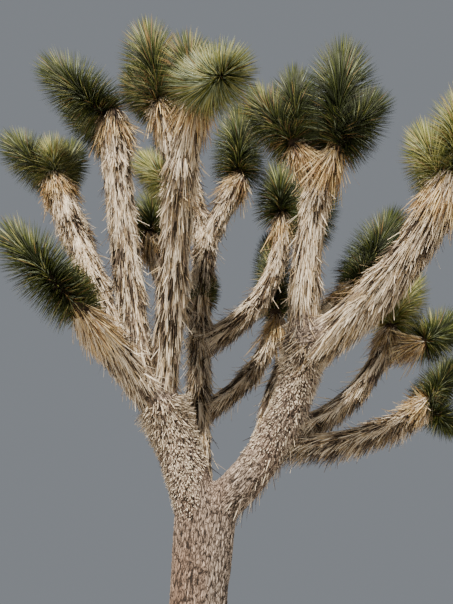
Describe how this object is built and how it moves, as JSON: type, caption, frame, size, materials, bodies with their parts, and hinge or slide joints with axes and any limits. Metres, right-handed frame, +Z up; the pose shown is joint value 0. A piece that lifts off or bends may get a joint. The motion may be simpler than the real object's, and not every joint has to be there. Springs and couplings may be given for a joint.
{
  "type": "joshua tree",
  "caption": "Mature joshua tree with a leaning trunk, thick forking limbs thatched with dead leaves, and dense heads of dagger leaves at their ends.",
  "frame": {"origin": "middle of the flat cut under the trunk, at ground level", "axes": "+Z up, +X to the right of the tree's front, and +Y from its front to its back"},
  "size_m": [3.8811, 2.7426, 6.6893],
  "materials": {
    "bark": "furrowed grey-brown bark, matt",
    "thatch": "dry straw-coloured dead leaves, matt",
    "leaves": "stiff grey-green leaves with a waxy sheen"
  },
  "bodies": {
    "root": {"trunk": "bark", "left_bough": "bark", "right_bough": "bark", "low_left_limb": "thatch", "outer_left_limb": "thatch", "inner_left_limb": "thatch", "front_limb": "thatch", "front_fork_left": "thatch", "front_fork_right": "thatch", "shaded_limb": "thatch", "shaded_fork_right": "thatch", "shaded_fork_back": "thatch", "stub_limb": "thatch", "middle_limb": "thatch", "crossing_limb": "thatch", "back_left_limb": "thatch", "tall_limb": "thatch", "tall_fork_left": "thatch", "tall_fork_right": "thatch", "hidden_limb": "thatch", "back_right_limb": "thatch", "long_limb": "thatch", "outer_right_limb": "thatch", "short_fork": "thatch", "low_right_limb": "thatch", "low_left_head": "leaves", "low_left_side_head": "leaves", "outer_left_head": "leaves", "outer_left_pale_head": "leaves", "outer_left_back_head": "leaves", "inner_left_head": "leaves", "front_left_head": "leaves", "front_left_side_head": "leaves", "front_top_head": "leaves", "front_facing_head": "leaves", "front_side_head": "leaves", "stub_head": "leaves", "shaded_right_head": "leaves", "shaded_back_head": "leaves", "shaded_side_head": "leaves", "middle_head": "leaves", "crossing_head": "leaves", "back_left_head": "leaves", "tall_left_head": "leaves", "tall_left_side_head": "leaves", "tall_right_head": "leaves", "tall_right_side_head": "leaves", "hidden_dark_head": "leaves", "hidden_light_head": "leaves", "back_right_head": "leaves", "long_left_head": "leaves", "long_right_head": "leaves", "outer_right_head": "leaves", "outer_right_side_head": "leaves", "low_right_head": "leaves", "low_right_end_head": "leaves"}
  },
  "joints": []
}
